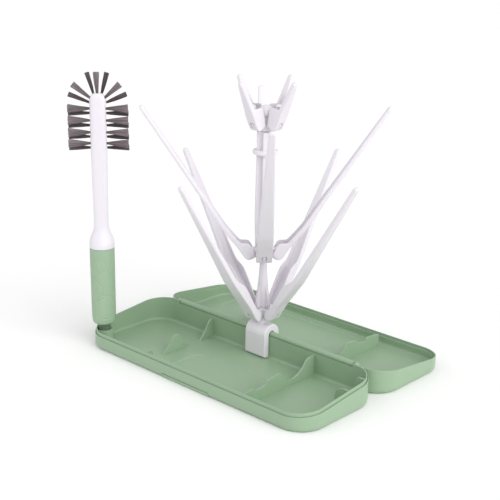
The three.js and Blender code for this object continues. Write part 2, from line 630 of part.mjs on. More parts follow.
addPart('rack_clip', clipWithHub(), WHITE);
addPart('rack_stem', stem(), WHITE);
addPart('rack_hub_middle', middleHub(), WHITE);
addPart('rack_pole', pole(), WHITE);
addPart('rack_hub_top', topHub(), WHITE);
for (const tier of [LOWER, MIDDLE, TOP]) {
  for (let i = 0; i < 4; i += 1) {
    const angle = tier.turn + i * Math.PI / 2;
    addPart(`arm_${tier.name}_${i + 1}`, turnedAbout(arm(tier), angle), WHITE);
    addPart(`pin_${tier.name}_${i + 1}`, turnedAbout(armPin(tier), angle), WHITE);
  }
}

addPart('brush_handle', standing(brushHandle()), WHITE);
addPart('brush_grip', standing(brushGrip()), SAGE_GRIP);
addPart('brush_plug', standing(brushPlug()), SAGE_GRIP);
addPart('brush_bristles_front', standing(bristleRow(1)), BRISTLE_LIGHT);
addPart('brush_bristles_back', standing(bristleRow(-1)), BRISTLE_DARK);

export default model;
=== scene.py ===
# Looks for the travel bottle drying rack: two hinged drip trays, a folding rack of twelve arms
# clipped over the hinge rail, and a bottle brush in the corner socket.
# Shapes are worked out in millimetres in the part's own frame, and written to meshes in metres.
import json
import math
import random

import bmesh
import bpy
from mathutils import Matrix, Vector


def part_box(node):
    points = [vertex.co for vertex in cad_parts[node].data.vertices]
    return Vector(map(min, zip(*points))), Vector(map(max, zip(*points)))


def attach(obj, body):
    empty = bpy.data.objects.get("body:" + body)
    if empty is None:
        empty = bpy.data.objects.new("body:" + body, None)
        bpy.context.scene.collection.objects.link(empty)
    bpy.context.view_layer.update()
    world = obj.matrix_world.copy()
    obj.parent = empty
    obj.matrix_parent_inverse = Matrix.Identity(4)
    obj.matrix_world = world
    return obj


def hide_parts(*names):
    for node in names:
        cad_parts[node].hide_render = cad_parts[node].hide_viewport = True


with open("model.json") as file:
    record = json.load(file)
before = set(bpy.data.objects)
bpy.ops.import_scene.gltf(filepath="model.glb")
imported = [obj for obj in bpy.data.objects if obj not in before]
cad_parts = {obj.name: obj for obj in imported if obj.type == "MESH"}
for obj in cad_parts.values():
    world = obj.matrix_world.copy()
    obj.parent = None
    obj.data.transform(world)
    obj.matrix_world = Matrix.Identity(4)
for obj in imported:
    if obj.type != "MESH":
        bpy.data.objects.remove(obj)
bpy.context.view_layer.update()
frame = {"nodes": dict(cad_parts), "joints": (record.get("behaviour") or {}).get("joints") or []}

MM = 0.001
JOINTS = {joint["name"]: joint for joint in frame["joints"]}
HINGE_Y = JOINTS["lid_hinge"]["pos_m"][1] / MM
HINGE_Z = JOINTS["lid_hinge"]["pos_m"][2] / MM
NEEDLE = 0.01  # the least radius of a ring, so that none shrinks to a point
FULLEST_CORNER = 0.98  # how far a corner's radius may fill a section's half width
ROD_SIDES = 40
SHARP_ANGLE = 40


def box_mm(node):
    low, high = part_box(node)
    return low / MM, high / MM


# ---------- mesh building
def skin(rings):
    """Vertices and faces of a closed tube through rings that all have the same number of points."""
    vertices = [point for ring in rings for point in ring]
    count = len(rings[0])
    last = (len(rings) - 1) * count
    faces = []
    for i in range(len(rings) - 1):
        for k in range(count):
            after = (k + 1) % count
            faces.append((i * count + k, i * count + after, (i + 1) * count + after, (i + 1) * count + k))
    faces.append(tuple(reversed(range(count))))
    faces.append(tuple(range(last, last + count)))
    return vertices, faces


def prism(points, x0, x1):
    """An outline of (y, z) points, extruded along X."""
    return skin([[Vector((x, y, z)) for y, z in points] for x in (x0, x1)])


def prism_along_y(points, y0, y1):
    """An outline of (x, z) points, extruded along Y."""
    return skin([[Vector((x, y, z)) for x, z in points] for y in (y0, y1)])


def block(x, y, z):
    return prism([(y[0], z[0]), (y[1], z[0]), (y[1], z[1]), (y[0], z[1])], *x)


def once_round(sides):
    """Angles in equal steps, once round."""
    return [2 * math.pi * k / sides for k in range(sides)]


def lathe(profile, centre=(0, 0), sides=64):
    """A turned body about a vertical axis, through (radius, height) points."""
    rings = []
    for radius, z in profile:
        radius = max(radius, NEEDLE)
        rings.append([Vector((centre[0] + radius * math.cos(a), centre[1] + radius * math.sin(a), z))
                      for a in once_round(sides)])
    return skin(rings)


def hollow_lathe(profile, centre=(0, 0), sides=64):
    """A turned ring: its (radius, height) profile closes on itself."""
    vertices, faces = lathe(profile, centre, sides)
    walls = [face for face in faces if len(face) == 4]
    last = (len(profile) - 1) * sides
    closing = [(k, (k + 1) % sides, last + (k + 1) % sides, last + k) for k in range(sides)]
    return vertices, walls + closing


def rod(start, end, radius, nose):
    """A round bar between two points, with rounded ends. A nose as big as the radius is a ball end."""
    start, end = Vector(start), Vector(end)
    along = (end - start).normalized()
    side = along.orthogonal().normalized()
    other = along.cross(side)
    curl = [math.radians(a) for a in range(0, 91, 18)]
    steps = [(nose * (1 - math.cos(a)), max(radius - nose + nose * math.sin(a), 2 * NEEDLE)) for a in curl]
    length = (end - start).length
    stations = steps + [(length - t, r) for t, r in reversed(steps)]
    rings = []
    for t, r in stations:
        rings.append([start + along * t + (side * math.cos(a) + other * math.sin(a)) * r
                      for a in once_round(ROD_SIDES)])
    return skin(rings)


def rounded_rectangle(x0, x1, y0, y1, radius, steps=14):
    """Points round a rectangle with round corners, anticlockwise from the lower right corner."""
    radius = max(radius, 0.05)
    corners = [(x1 - radius, y0 + radius, -90), (x1 - radius, y1 - radius, 0),
               (x0 + radius, y1 - radius, 90), (x0 + radius, y0 + radius, 180)]
    points = []
    for cx, cy, start in corners:
        for k in range(steps + 1):
            angle = math.radians(start + 90 * k / steps)
            points.append((cx + radius * math.cos(angle), cy + radius * math.sin(angle)))
    return points


def circle_points(centre, radius, degrees):
    """Points on a circle, at the given angles."""
    angles = [math.radians(a) for a in degrees]
    return [(centre[0] + radius * math.cos(a), centre[1] + radius * math.sin(a)) for a in angles]


def section_ring(centre, across, deep, half_width, half_depth, radius, steps):
    """A rounded-rectangle ring in the plane of two unit vectors."""
    radius = min(radius, half_width * FULLEST_CORNER, half_depth * FULLEST_CORNER)
    outline = rounded_rectangle(-half_width, half_width, -half_depth, half_depth, radius, steps)
    return [centre + across * u + deep * v for u, v in outline]


def curve_through(points, steps=6):
    """A smooth line through points: a Catmull-Rom spline, with its ends kept."""
    padded = [points[0]] + list(points) + [points[-1]]
    line = []
    for i in range(1, len(padded) - 2):
        p0, p1, p2, p3 = (Vector(p) for p in padded[i - 1:i + 3])
        for k in range(steps):
            t = k / steps
            line.append(tuple(0.5 * (2 * p1 + (p2 - p0) * t + (2 * p0 - 5 * p1 + 4 * p2 - p3) * t ** 2
                                     + (3 * p1 - p0 - 3 * p2 + p3) * t ** 3)))
    return line + [tuple(points[-1])]


def new_object(name, parts):
    """One object from several (vertices, faces) pairs given in millimetres."""
    vertices, faces = [], []
    for part_vertices, part_faces in parts:
        offset = len(vertices)
        vertices += [Vector(v) * MM for v in part_vertices]
        faces += [tuple(offset + i for i in face) for face in part_faces]
    mesh = bpy.data.meshes.new(name)
    mesh.from_pydata(vertices, [], faces)
    mesh.update()
    turned = bmesh.new()
    turned.from_mesh(mesh)
    bmesh.ops.recalc_face_normals(turned, faces=turned.faces)
    turned.to_mesh(mesh)
    turned.free()
    obj = bpy.data.objects.new(name, mesh)
    bpy.context.scene.collection.objects.link(obj)
    return obj


def bake(obj):
    """Turns an object's modifiers into its mesh."""
    bpy.context.view_layer.update()
    graph = bpy.context.evaluated_depsgraph_get()
    mesh = bpy.data.meshes.new_from_object(obj.evaluated_get(graph))
    obj.modifiers.clear()
    obj.data = mesh


def combine(obj, operation, parts):
    """Joins or cuts each closed part to or from obj."""
    for part in parts:
        other = new_object("tool", [part])
        change = obj.modifiers.new("change", "BOOLEAN")
        change.operation = operation
        change.solver = "EXACT"
        change.object = other
        bake(obj)
        bpy.data.objects.remove(other)


def soften(obj, width, segments=3, angle=32):
    """Rounds the sharp edges and keeps the flat faces flat."""
    bevel = obj.modifiers.new("bevel", "BEVEL")
    bevel.width = width * MM
    bevel.segments = segments
    bevel.limit_method = "ANGLE"
    bevel.angle_limit = math.radians(angle)
    bevel.use_clamp_overlap = True
    bake(obj)


def shade(obj):
    """Smooth shading, with the sharp edges kept."""
    for polygon in obj.data.polygons:
        polygon.use_smooth = True
    obj.data.set_sharp_from_angle(angle=math.radians(SHARP_ANGLE))
    weighted = obj.modifiers.new("normals", "WEIGHTED_NORMAL")
    weighted.keep_sharp = True
    weighted.weight = 50


def shade_and_bake(obj):
    shade(obj)
    bake(obj)


def finish_piece(obj, body, material, cad_node):
    """Gives a piece its material and the body it moves with, and hides the CAD node it stands for."""
    obj.data.materials.clear()
    obj.data.materials.append(material)
    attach(obj, body)
    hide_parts(cad_node)


# ---------- materials
def new_material(name):
    """A material with nodes, its node tree and its shader."""
    material = bpy.data.materials.new(name)
    material.use_nodes = True
    return material, material.node_tree, material.node_tree.nodes["Principled BSDF"]


def node(tree, kind, **values):
    """A node with its inputs or its settings filled in."""
    made = tree.nodes.new(kind)
    for key, value in values.items():
        if key in made.inputs:
            made.inputs[key].default_value = value
        else:
            setattr(made, key, value)
    return made


def link(tree, source, output, target, entry):
    tree.links.new(source.outputs[output], target.inputs[entry])


def noise(tree, **values):
    """Noise in the object's own coordinates."""
    place = node(tree, "ShaderNodeTexCoord")
    texture = node(tree, "ShaderNodeTexNoise", **values)
    link(tree, place, "Object", texture, "Vector")
    return texture


def two_colours(tree, first, second):
    """A mix of two colours, whose factor is still to be linked."""
    mix = node(tree, "ShaderNodeMix", data_type="RGBA")
    mix.inputs["A"].default_value = (*first, 1)
    mix.inputs["B"].default_value = (*second, 1)
    return mix


def spread_between(tree, low, high):
    """Turns a value from 0 to 1 into one from low to high."""
    spread = node(tree, "ShaderNodeMapRange")
    spread.inputs["To Min"].default_value = low
    spread.inputs["To Max"].default_value = high
    return spread


def uneven_polish(tree, shader, texture, low, high):
    """Roughness between two values, as a texture says."""
    spread = spread_between(tree, low, high)
    link(tree, texture, "Fac", spread, "Value")
    link(tree, spread, "Result", shader, "Roughness")


def relief(tree, shader, texture, strength, distance):
    """Fine bumps that follow a texture."""
    bump = node(tree, "ShaderNodeBump", Strength=strength, Distance=distance)
    link(tree, texture, "Fac", bump, "Height")
    link(tree, bump, "Normal", shader, "Normal")


def moulded(name, colour, tint, roughness, grain, grain_height, subsurface=0.0):
    """Injection-moulded plastic: a fine spark-eroded grain, slow colour drift and uneven polish."""
    material, tree, shader = new_material(name)
    drift = noise(tree, Scale=DRIFT_SCALE, Detail=3.0, Roughness=0.55)
    patches = noise(tree, Scale=POLISH_SCALE, Detail=4.0, Roughness=0.6)
    fine = noise(tree, Scale=grain, Detail=2.0, Roughness=0.5)
    mix = two_colours(tree, colour, tint)
    link(tree, drift, "Fac", mix, "Factor")
    link(tree, mix, "Result", shader, "Base Color")
    uneven_polish(tree, shader, patches, roughness - 0.06, roughness + 0.07)
    relief(tree, shader, fine, 0.35, grain_height)
    shader.inputs["IOR"].default_value = PLASTIC_IOR
    if subsurface:
        shader.inputs["Subsurface Weight"].default_value = subsurface
        shader.inputs["Subsurface Radius"].default_value = (1.0, 0.9, 0.95)
        shader.inputs["Subsurface Scale"].default_value = 0.0012
    return material


def wire_steel():
    """Drawn steel wire: fine lines along X and a thin uneven shine."""
    material, tree, shader = new_material("pin_steel")
    shader.inputs["Base Color"].default_value = (0.55, 0.56, 0.57, 1)
    shader.inputs["Metallic"].default_value = 1.0
    place = node(tree, "ShaderNodeTexCoord")
    stretch = node(tree, "ShaderNodeMapping")
    stretch.inputs["Scale"].default_value = (60, 2500, 2500)
    lines = node(tree, "ShaderNodeTexNoise", Scale=1.0, Detail=3.0)
    link(tree, place, "Object", stretch, "Vector")
    link(tree, stretch, "Vector", lines, "Vector")
    uneven_polish(tree, shader, lines, 0.22, 0.42)
    relief(tree, shader, lines, 0.2, 0.00002)
    return material


def nylon(name, root, tip):
    """Bristle nylon: darker at the root, paler at the cut tips, and no two filaments alike."""
    material, tree, shader = new_material(name)
    filament = node(tree, "ShaderNodeAttribute", attribute_name="filament")
    parts = node(tree, "ShaderNodeSeparateColor")
    link(tree, filament, "Color", parts, "Color")
    ramp = two_colours(tree, root, tip)
    link(tree, parts, "Red", ramp, "Factor")
    bright = spread_between(tree, 1 - BRISTLE_VARIETY, 1 + BRISTLE_VARIETY)
    link(tree, parts, "Green", bright, "Value")
    vary = node(tree, "ShaderNodeHueSaturation", Saturation=1.0)
    link(tree, ramp, "Result", vary, "Color")
    link(tree, bright, "Result", vary, "Value")
    link(tree, vary, "Color", shader, "Base Color")
    fine = noise(tree, Scale=2600.0, Detail=2.0)
    uneven_polish(tree, shader, fine, 0.42, 0.62)
    relief(tree, shader, fine, 0.2, 0.00002)
    return material


DRIFT_SCALE = 60.0
POLISH_SCALE = 138.0
PLASTIC_IOR = 1.49
BRISTLE_VARIETY = 0.30
SAGE = moulded("sage_case", (0.277, 0.400, 0.266), (0.294, 0.418, 0.279), 0.31, 2400, 0.00003)
SAGE_GRIP = moulded("sage_grip", (0.298, 0.423, 0.288), (0.316, 0.438, 0.302), 0.52, 3200, 0.00004)
WHITE = moulded("white_rack", (0.742, 0.708, 0.762), (0.766, 0.732, 0.784), 0.34, 2600, 0.00002,
                subsurface=0.08)
# A darker copy of the grip's sage for the brush foot: painted shade, standing in for the shadow the grip
# casts on it.
SAGE_PLUG_PAINTED_SHADE = moulded("sage_plug_painted_shade", (0.110, 0.165, 0.110), (0.125, 0.182, 0.124), 0.5, 2600, 0.00003)
STEEL = wire_steel()
BRISTLE_LIGHT = nylon("bristle_light", (0.091, 0.070, 0.078), (0.262, 0.220, 0.238))
BRISTLE_DARK = nylon("bristle_dark", (0.045, 0.034, 0.040), (0.118, 0.092, 0.103))


# ---------- trays
BASE_LOW, BASE_HIGH = box_mm("base_tray")
LID_LOW, LID_HIGH = box_mm("lid_tray")
WALL = 2.4
FLOOR = 2.2
CORNER = 25.0
HINGE_GAP = 1.0
LIP_RISE = 3.1
LEDGE_DROP = 2.7
HINGE_WALL_TOP = 23.4
RIM_HINGE = 23.9
RIM_FRONT = 13.5
RIM_BACK = 12.2
RAIL_RADIUS = 2.75
RAIL_HALF = 110.0
KNUCKLE = 5.5
KNUCKLE_GAP = 0.3
RIB_HALF = 0.9
END_RIB_HALF = 0.8
RIB_FOOT = 1.4  # a height inside the floor, where ribs start
RIB_EDGE = 0.5
SHELL_EDGE = 0.28
SHELL_ANGLE = 50
ABOVE_ALL = 60  # a height that clears both trays, for the tops of cutting blocks
NOTCH_HALF = 14  # the notch in the lid's hinge wall that makes room for the clip
DIVIDER_X = 67.0
FIN_X = -63.0
# Floor recesses as X range and distances from the hinge line, and their edge as (inset, drop).
BASE_PAD = ((-41, 58), (42, 94))
LID_PAD = ((-118, 58), (60, 94))
PAD_CORNER = 10
PAD_EDGE = [(-0.7, 0), (-0.35, 0.05), (0, 0.34), (0.3, 0.62), (0.7, 0.68)]
# The thumb slot in the front tray's outer wall.
THUMB_X = (-29.5, 30.0)
THUMB_SLOT = (3.6, 4.5)
THUMB_DEPTH = 0.75

# Profiles from the outside foot over the rim to the floor: (inset, height, share of the rim height).
FOOT = [(4.6, 0.02, 0), (3.2, 0.12, 0), (2.0, 0.6, 0), (1.1, 1.4, 0), (0.45, 2.5, 0), (0.1, 3.8, 0),
        (0, 5.2, 0)]
LIPPED_RIM = [(0, -0.55, 1), (0.06, -0.25, 1), (0.2, -0.06, 1), (0.36, 0, 1), (0.5, -0.1, 1),
              (0.58, -0.4, 1), (0.62, -0.75, 1), (1.12, -0.75, 1), (1.18, -0.5, 1), (1.2, 0.3, 1),
              (1.2, LIP_RISE - 0.5, 1), (1.32, LIP_RISE - 0.15, 1), (1.55, LIP_RISE, 1),
              (2.0, LIP_RISE, 1), (2.3, LIP_RISE - 0.15, 1), (2.4, LIP_RISE - 0.5, 1)]
LEDGED_RIM = [(0, -0.45, 1), (0.08, -0.18, 1), (0.28, 0, 1), (0.75, 0, 1), (0.98, -0.14, 1),
              (1.06, -0.4, 1), (1.1, -LEDGE_DROP, 1), (1.2, -LEDGE_DROP - 0.1, 1),
              (2.1, -LEDGE_DROP - 0.1, 1), (2.32, -LEDGE_DROP - 0.25, 1), (2.4, -LEDGE_DROP - 0.55, 1)]
INSIDE = [(2.4, 5.2, 0), (2.5, 4.2, 0), (2.85, 3.3, 0), (3.5, 2.65, 0), (4.4, 2.3, 0), (5.4, FLOOR, 0)]


def tray_shell(side, rim_far, rim_profile, pad):
    """Floor, walls and rim of one tray. side is -1 for the front tray and 1 for the rear one."""
    low, high = (BASE_LOW, BASE_HIGH) if side < 0 else (LID_LOW, LID_HIGH)
    near = HINGE_Y + side * HINGE_GAP
    far = low.y if side < 0 else high.y
    y0, y1 = min(near, far), max(near, far)
    depth = abs(far - HINGE_Y)

    def rim_at(y):
        return RIM_HINGE + (rim_far - RIM_HINGE) * abs(y - HINGE_Y) / depth

    rings = []
    for inset, height, share in FOOT + rim_profile + INSIDE:
        outline = rounded_rectangle(low.x + inset, high.x - inset, y0 + inset, y1 - inset, CORNER - inset)
        rings.append([Vector((x, y, height + share * rim_at(y))) for x, y in outline])
    (px0, px1), distances = pad
    py0, py1 = sorted(HINGE_Y + side * d for d in distances)
    for inset, drop in PAD_EDGE:
        outline = rounded_rectangle(px0 + inset, px1 - inset, py0 + inset, py1 - inset, PAD_CORNER - inset)
        rings.append([Vector((x, y, FLOOR - drop)) for x, y in outline])
    return skin(rings)


def rib(side, x, outline):
    """An upright rib across a tray, from (distance from the hinge line, height) points."""
    return prism([(HINGE_Y + side * d, z) for d, z in outline], x - RIB_HALF, x + RIB_HALF)


def wall_rib(side, top):
    """The low rib that leans on a tray's hinge wall."""
    line = curve_through([(22.6, RIB_FOOT), (17.4, 6), (13.4, 11.4), *top], 5)
    return rib(side, FIN_X, [*line, (2.4, RIB_FOOT)])


def softened(name, parts, width, segments=3):
    """Closed parts with their sharp edges rounded, as (vertices, faces) to add to a piece."""
    made = new_object(name, parts)
    soften(made, width, segments)
    vertices = [v.co / MM for v in made.data.vertices]
    faces = [tuple(p.vertices) for p in made.data.polygons]
    bpy.data.objects.remove(made)
    return vertices, faces


# The front tray's two ribs on the right-hand end wall: (distance from the hinge line, X and Z outline).
END_RIBS = [
    (42, [(138.2, RIB_FOOT), (138.2, 22.8), (131.6, 22.8), (129.1, 21.8), (126, 20.4), (124.4, 18),
          (123.4, 14), (123, RIB_FOOT)]),
    (18, [(136.8, RIB_FOOT), (136.8, 24.8), (130, 24.8), (128.4, 24), (127.4, 22), (125.8, 17.8),
          (124.6, 14), (124, RIB_FOOT)]),
]


def base_cross_rib(far):
    toe = curve_through([(far - 1.8, 13.4), (94, 14.2), (83.6, 15.0)], 3)
    shoulder = curve_through([(80.2, 12.3), (74, 12.4), (68.7, 13.3)], 3)
    dip = curve_through([(66.2, 16.8), (58, 17.6), (51, 18.2), (48.4, 17.7), (44, 13.6), (38, 8.6), (32, 7.6),
                         (24, 10.4), (18.4, 14.4), (14.2, 19.2), (11.2, 21.0), (8.4, 21.3)], 5)
    return [(far - 1.8, RIB_FOOT), *toe, *shoulder, *dip, (2, 21.3), (2, RIB_FOOT)]


def base_ribs(far):
    fin = curve_through([(72.5, RIB_FOOT), (68.4, 4.6), (63.6, 8.4), (60, 12.8), (57.6, 16), (55.2, 17.6),
                         (52, 17.8), (49.4, 17.2), (46.6, 13.8), (43.6, 9.4), (39.6, 5.4),
                         (34.6, RIB_FOOT)], 5)
    front_y = BASE_LOW.y
    ribs = [
        rib(-1, DIVIDER_X, base_cross_rib(far)),
        rib(-1, FIN_X, fin),
        wall_rib(-1, [(9.8, 17), (6.6, 20.4), (2.4, 20.8)]),
        block((-56.3, -54.7), (front_y + 1.8, front_y + WALL + 10), (RIB_FOOT, 16.2)),
    ]
    for distance, points in END_RIBS:
        middle = HINGE_Y - distance
        ribs.append(prism_along_y(points, middle - END_RIB_HALF, middle + END_RIB_HALF))
    return ribs


def mirrored(near, far):
    """A stretch of X on the left of the middle, and the same on the right."""
    return [(-far, -near), (near, far)]


def hinge_rod(x0, x1, radius, nose):
    """A round bar on the hinge's axis."""
    return rod((x0, HINGE_Y, HINGE_Z), (x1, HINGE_Y, HINGE_Z), radius, nose)


def base_knuckles():
    """Two ball-ended knuckles and the blocks that carry them, rooted inside the hinge wall."""
    wall = (HINGE_Y - HINGE_GAP - WALL + 0.3, HINGE_Y - HINGE_GAP - 0.3)
    parts = []
    for x0, x1 in mirrored(RAIL_HALF + KNUCKLE_GAP, RAIL_HALF + KNUCKLE_GAP + KNUCKLE):
        parts.append(hinge_rod(x0, x1, RAIL_RADIUS, RAIL_RADIUS))
        parts.append(block((x0 + 0.9, x1 - 0.9), wall, (12, HINGE_Z)))
    return parts


def socket_boss():
    """The ring that the brush stands in."""
    profile = [(6.4, 4.0), (8.6, 2.0), (8.6, 14.6), (8.3, 15.1), (7.9, 15.2), (6.9, 15.2), (6.5, 15.0),
               (6.4, 14.6)]
    return hollow_lathe(profile, brush_axis(), 72)


def base_tray():
    far = HINGE_Y - BASE_LOW.y
    front_y = BASE_LOW.y
    shell = new_object("tray_front", [tray_shell(-1, RIM_FRONT, LIPPED_RIM, BASE_PAD)])
    reach = RAIL_HALF + 1
    rail_room = hinge_rod(-reach, reach, RAIL_RADIUS + 0.25, 0.1)
    above = block((-reach, reach), (HINGE_Y - 8, HINGE_Y + 2), (HINGE_WALL_TOP, ABOVE_ALL))
    slot = block(THUMB_X, (front_y - 2, front_y + THUMB_DEPTH), THUMB_SLOT)
    combine(shell, "DIFFERENCE", [above, rail_room, slot])
    soften(shell, SHELL_EDGE, 2, SHELL_ANGLE)
    strip = softened("strip", [block(THUMB_X, (front_y + 0.45, front_y + 3), (0.3, THUMB_SLOT[0]))], 0.35)
    details = softened("details", base_ribs(far), RIB_EDGE)
    parts = [details, strip, *base_knuckles(), socket_boss()]
    finish_tray(shell, parts, "base", "base_tray")


def finish_tray(shell, parts, body, cad_node):
    """A tray's shell and its other parts, shaded apart and then made one piece."""
    more = new_object("more", parts)
    for obj in (more, shell):
        shade_and_bake(obj)
    finish_piece(joined([shell, more]), body, SAGE, cad_node)


def joined(objects):
    """Several finished meshes as one object, the first, with their normals kept."""
    first = objects[0]
    for obj in objects:
        obj.data.materials.clear()
    with bpy.context.temp_override(active_object=first, object=first, selected_objects=objects,
                                   selected_editable_objects=objects):
        bpy.ops.object.join()
    return first


def lid_cross_rib():
    toe = curve_through([(93.6, 13.6), (86, 14.8), (77.6, 15.6)], 3)
    dip = curve_through([(58.2, 17.5), (50, 18.6), (43.2, 19.0), (40.4, 16.6), (36.4, 12), (31, 8.4),
                         (24, 7.2), (17, 8.6), (12, 11.2), (8, 15.4), (5.4, 18.8), (2, 19.6)], 5)
    return [(94.2, RIB_FOOT), (94.2, 13.2), *toe, (75.2, 15), (73.1, 12.1), (62.1, 14.3), (59, 17.1), *dip,
            (2, RIB_FOOT)]


def lid_ribs():
    fin = curve_through([(36.2, RIB_FOOT), (40.6, 6), (44, 9.8), (47, 13.6), (50, 15.4), (53.6, 15.4),
                         (57.4, 13.0), (61.4, 8.2), (69, RIB_FOOT)], 5)
    return [rib(1, DIVIDER_X, lid_cross_rib()), rib(1, FIN_X, fin),
            wall_rib(1, [(9.8, 16.6), (6.6, 19.2), (2.4, 20)])]


def lid_tray():
    shell = new_object("tray_rear", [tray_shell(1, RIM_BACK, LEDGED_RIM, LID_PAD)])
    reach = RAIL_HALF + KNUCKLE + 1
    knuckle_room = [block(x, (HINGE_Y - 8, HINGE_Y + 3.75), (HINGE_Z - RAIL_RADIUS - 1.2, ABOVE_ALL))
                    for x in mirrored(RAIL_HALF, reach)]
    above = block((-RAIL_HALF - 1, RAIL_HALF + 1), (HINGE_Y - 8, HINGE_Y + 4.75), (HINGE_Z, ABOVE_ALL))
    wall_end = HINGE_Y + HINGE_GAP + WALL
    notch = block((-NOTCH_HALF, NOTCH_HALF), (HINGE_Y, wall_end + 1.5), (6, ABOVE_ALL))
    combine(shell, "DIFFERENCE", [*knuckle_room, above, notch])
    soften(shell, SHELL_EDGE, 2, SHELL_ANGLE)
    webs = [block(x, (HINGE_Y + 0.2, wall_end - 0.3), (15, HINGE_Z - 0.4))
            for x in mirrored(NOTCH_HALF + 0.2, RAIL_HALF)]
    rail = hinge_rod(-RAIL_HALF, RAIL_HALF, RAIL_RADIUS, 0.3)
    finish_tray(shell, [softened("details", lid_ribs(), RIB_EDGE), *webs, rail], "lid", "lid_tray")


# ---------- rack
# Each tier's outlines and rod ends are (distance from the pole, height) points on an arm's flank.
# half and tip_half are half widths of an arm, hub is the foot and top of the hub's core, and lug and
# knuckle are the radii of a lug's and an arm's round ends.
TIERS = {
    "lower": {
        "half": 7.3, "wall": 1.8, "lug": 3.9, "hub": (36.5, 50), "hub_radius": 4.4, "knuckle": 5.4,
        "outer": [(24.9, 56.3), (45.3, 83.4)],
        "inner": [(8.4, 41.0), (8.6, 45.2), (9.6, 47.8), (15.2, 53.2), (28.6, 75.8), (31.4, 79.6),
                  (35.8, 82.8), (40, 85.0), (43.4, 89.4)],
        "rod_start": (43.2, 86.4), "rod_end": (103.9, 182.4), "rod_depth": (5.8, 4.3), "tip_half": 2.8,
    },
    "middle": {
        "half": 7.3, "wall": 1.8, "lug": 4.3, "hub": (98, 112), "hub_radius": 6.4, "knuckle": 6.0,
        "outer": [(24.2, 109.2), (38.6, 126.6)],
        "inner": [(8.2, 99.4), (8.2, 103), (11.9, 110.4), (12.9, 112.2), (14.6, 113.2), (21.6, 113.3),
                  (29.2, 121.8), (34.8, 128.6)],
        "rod_start": (36.8, 127.7), "rod_end": (110.3, 237.4), "rod_depth": (4.6, 3.9), "tip_half": 2.8,
    },
    "top": {
        "half": 5.3, "wall": 1.5, "lug": 3.9, "hub": (217, 231), "hub_radius": 4.8, "knuckle": 5.9,
        "outer": [(19.6, 228), (22.8, 235.6)],
        "inner": [(5.8, 220.4), (5.9, 224.4), (7.5, 233.4), (8.8, 238.4), (10.2, 239.8), (12.6, 240.1),
                  (16.2, 239), (18.6, 238.4)],
        "rod_start": (20, 233.8), "rod_end": (32.6, 262), "rod_depth": (5.4, 4.3), "tip_half": 2.5,
    },
}
ARM_STEP = 0.8
SMOOTH_REACH = 1.3
FLANK_EDGE = 1.05  # the rounding of a section's edges at the flank and along the rod
ROD_EDGE = 1.6
ROD_EDGE_REACH = 40
CHANNEL_STEP = 1.2
CHANNEL_HEADROOM = 14  # how far the hollow's cutting body stands out of the arm
THINNEST_WALL = 0.9  # of an arm's outer face behind a lug
LUG_GAP = 0.4  # between a lug's round end and the hollow's floor
LUG_REACH = 2.0  # up to here along the arm the hollow follows the lug
TONGUE_GAP = 1.6  # between a lug's flank and the arm's
FADE_LEAD = 4  # how long before the rod's start the hollow begins to run out
GROOVE_SHARE = 0.42  # how much of the rod the groove covers
FOOT_CORNER = 2.8  # the round corners at the bottom of an arm's outer face
WINDOW_HALF = 2.1
WINDOW_REACH = (-3.0, 2.0)  # the window's foot and top, from the pivot's height
TAB_HALF = 1.55
TAB_HALF_DEPTH = 0.5
TAB_TOP = 1.2
TAB_STEP = 0.5
SPIGOT = 2.4  # radius of the spigots that join the pole's pieces
STEM_FIN_HALF = 1.4
CLIP_HALF = 12.5
CLIP_OUTER = 10.2
CLIP_INNER = 3.7
CLIP_CORNER = 1.4
CLIP_BACK_FOOT = 12.0
CLIP_MIDDLE = HINGE_Z - 0.6
POLE_SPAN = 7.9
POLE_RIB_HALF = 2.5
POLE_FILLET = 0.8
DISC_Z = 196.2
DISC_RADIUS = 11.6
DISC_HEIGHT = 3.8


def pivot_of(tier):
    """(distance from the pole, height) of a tier's pivots, from the first arm's joint."""
    x, y, z = (value / MM for value in JOINTS[f"fold_{tier}_1"]["pos_m"])
    return math.hypot(x, y - HINGE_Y), z


def turn_of(tier, index):
    x, y, _ = (value / MM for value in JOINTS[f"fold_{tier}_{index}"]["pos_m"])
    return math.atan2(y - HINGE_Y, x) - math.pi / 2


def interpolate(points, at):
    """A straight-line reading of sorted (place, value) points."""
    if at <= points[0][0]:
        return points[0][1]
    for (a, va), (b, vb) in zip(points, points[1:]):
        if at <= b:
            return va + (vb - va) * (at - a) / max(b - a, 1e-6)
    return points[-1][1]


